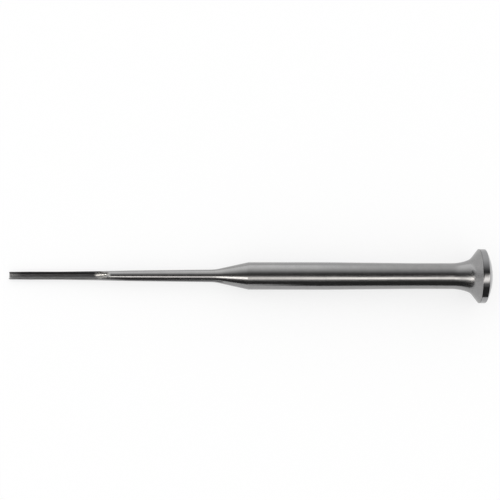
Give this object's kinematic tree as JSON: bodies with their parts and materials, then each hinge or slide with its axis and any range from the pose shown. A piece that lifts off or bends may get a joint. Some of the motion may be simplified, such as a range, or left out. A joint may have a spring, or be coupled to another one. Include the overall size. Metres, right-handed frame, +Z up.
{
  "type": "bone gouge",
  "caption": "Straight bone gouge in one piece of stainless steel: slim U-section blade with a sharp edge, round handle and a flared, domed head to strike.",
  "frame": {"origin": "middle of the box that the tool fills, on the surface that it lies on", "axes": "+X along the tool from its cutting edge to its struck head, +Z up and out of the trough, Y across the blade; the tool's own axis rises 2.8 degrees towards the head, as it does when the tool lies on a table"},
  "size_m": [0.1696, 0.0188, 0.0189],
  "materials": {
    "stainless_steel": "satin, turned and polished lengthwise"
  },
  "bodies": {
    "root": {"gouge": "stainless_steel"}
  },
  "joints": []
}
